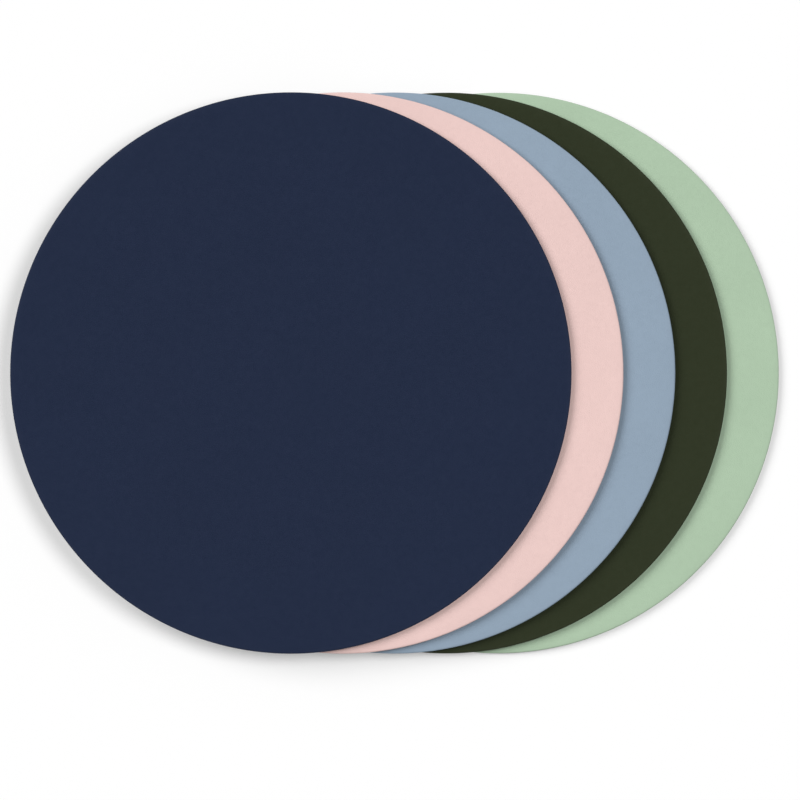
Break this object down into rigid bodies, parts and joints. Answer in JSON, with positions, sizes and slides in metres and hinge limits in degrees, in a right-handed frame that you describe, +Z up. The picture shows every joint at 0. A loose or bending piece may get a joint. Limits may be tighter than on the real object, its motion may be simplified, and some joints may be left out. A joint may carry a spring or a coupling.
{
  "type": "mouse pad set",
  "caption": "Thin round mouse pads in plain colours, each a bonded leather-look face, core and non-slip base, lying loosely in a fanned pile.",
  "frame": {"origin": "on the desk, under the middle of the fan's outline", "axes": "+X along the fan, from the top pad towards the bottom pad; +Z up, out of the desk"},
  "size_m": [0.274, 0.2, 0.0129],
  "materials": {
    "mint_face": "matt synthetic leather, very fine grain",
    "olive_face": "matt synthetic leather, very fine grain",
    "blue_face": "matt synthetic leather, very fine grain",
    "pink_face": "matt synthetic leather, very fine grain",
    "navy_face": "matt synthetic leather, very fine grain",
    "core": "cut foam, fine closed cells",
    "base": "matt rubber with a fine moulded grip texture"
  },
  "bodies": {
    "mint_pad": {"mint_base": "base", "mint_core": "core", "mint_face_sheet": "mint_face"},
    "olive_pad": {"olive_base": "base", "olive_core": "core", "olive_face_sheet": "olive_face"},
    "blue_pad": {"blue_base": "base", "blue_core": "core", "blue_face_sheet": "blue_face"},
    "pink_pad": {"pink_base": "base", "pink_core": "core", "pink_face_sheet": "pink_face"},
    "navy_pad": {"navy_base": "base", "navy_core": "core", "navy_face_sheet": "navy_face"}
  },
  "joints": [
    {"name": "olive_slide", "type": "slide", "parent": "mint_pad", "child": "olive_pad", "axis": [1, 0, 0], "range_m": [-0.0185, 0.0185]},
    {"name": "blue_slide", "type": "slide", "parent": "olive_pad", "child": "blue_pad", "axis": [1, 0, 0], "range_m": [-0.0185, 0.0185]},
    {"name": "pink_slide", "type": "slide", "parent": "blue_pad", "child": "pink_pad", "axis": [1, 0, 0], "range_m": [-0.0185, 0.0185]},
    {"name": "navy_slide", "type": "slide", "parent": "pink_pad", "child": "navy_pad", "axis": [1, 0, 0], "range_m": [-0.0185, 0.0185]}
  ]
}
